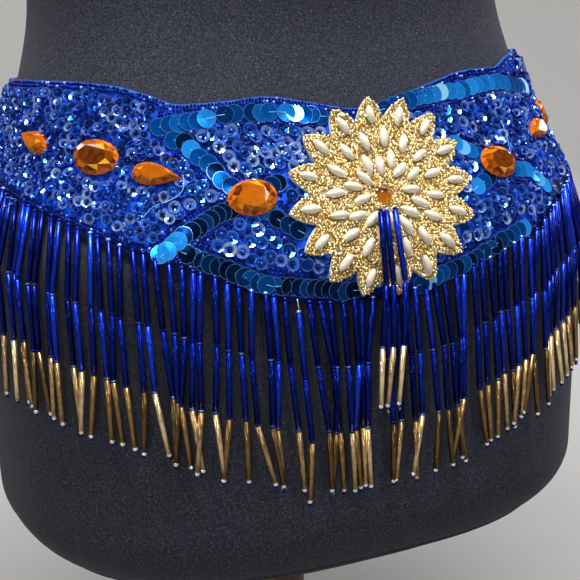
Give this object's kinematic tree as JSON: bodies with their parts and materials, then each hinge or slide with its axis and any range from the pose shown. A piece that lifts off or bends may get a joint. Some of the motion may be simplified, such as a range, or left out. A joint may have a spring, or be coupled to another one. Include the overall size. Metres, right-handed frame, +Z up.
{
  "type": "belly dance hip belt on a limbless dress form",
  "caption": "Beaded belly dance hip belt with jewelled medallion and bugle-bead fringe, worn on a limbless dress form on a short round-foot stand.",
  "frame": {"origin": "centre of the bounding box's underside, in the middle of the round foot's lower face on the floor", "axes": "+Z up along the pole; -Y is the front, where the medallion is; +X is the viewer's right seen from the front"},
  "size_m": [0.3549, 0.3031, 0.9452],
  "materials": {
    "jersey": "matt dark charcoal jersey",
    "beaded_cloth": "royal blue cloth covered in cup sequins and bead ropes",
    "bugle_glass": "silver-lined blue and gold bugle beads",
    "gold_pearl": "gold bullion beadwork with ivory rice pearls",
    "amber": "faceted amber stones",
    "pole_wood": "brown varnished wood"
  },
  "bodies": {
    "root": {"belt_back_left": "beaded_cloth", "belt_back_right": "beaded_cloth", "belt_front": "beaded_cloth", "closure_placket": "beaded_cloth", "form_board": "pole_wood", "form_body": "jersey", "fringe_1": "bugle_glass", "fringe_2": "bugle_glass", "fringe_3": "bugle_glass", "fringe_4": "bugle_glass", "fringe_5": "bugle_glass", "fringe_6": "bugle_glass", "fringe_7": "bugle_glass", "fringe_8": "bugle_glass", "medallion": "gold_pearl", "medallion_fringe": "bugle_glass", "medallion_stone": "amber", "neck_cap": "jersey", "oval_front_left": "amber", "oval_front_right": "amber", "oval_side_left": "amber", "oval_side_right": "amber", "stand_foot": "pole_wood", "stand_pole": "pole_wood", "teardrop_front_left": "amber", "teardrop_front_right": "amber", "teardrop_side_left": "amber", "teardrop_side_right": "amber"}
  },
  "joints": []
}
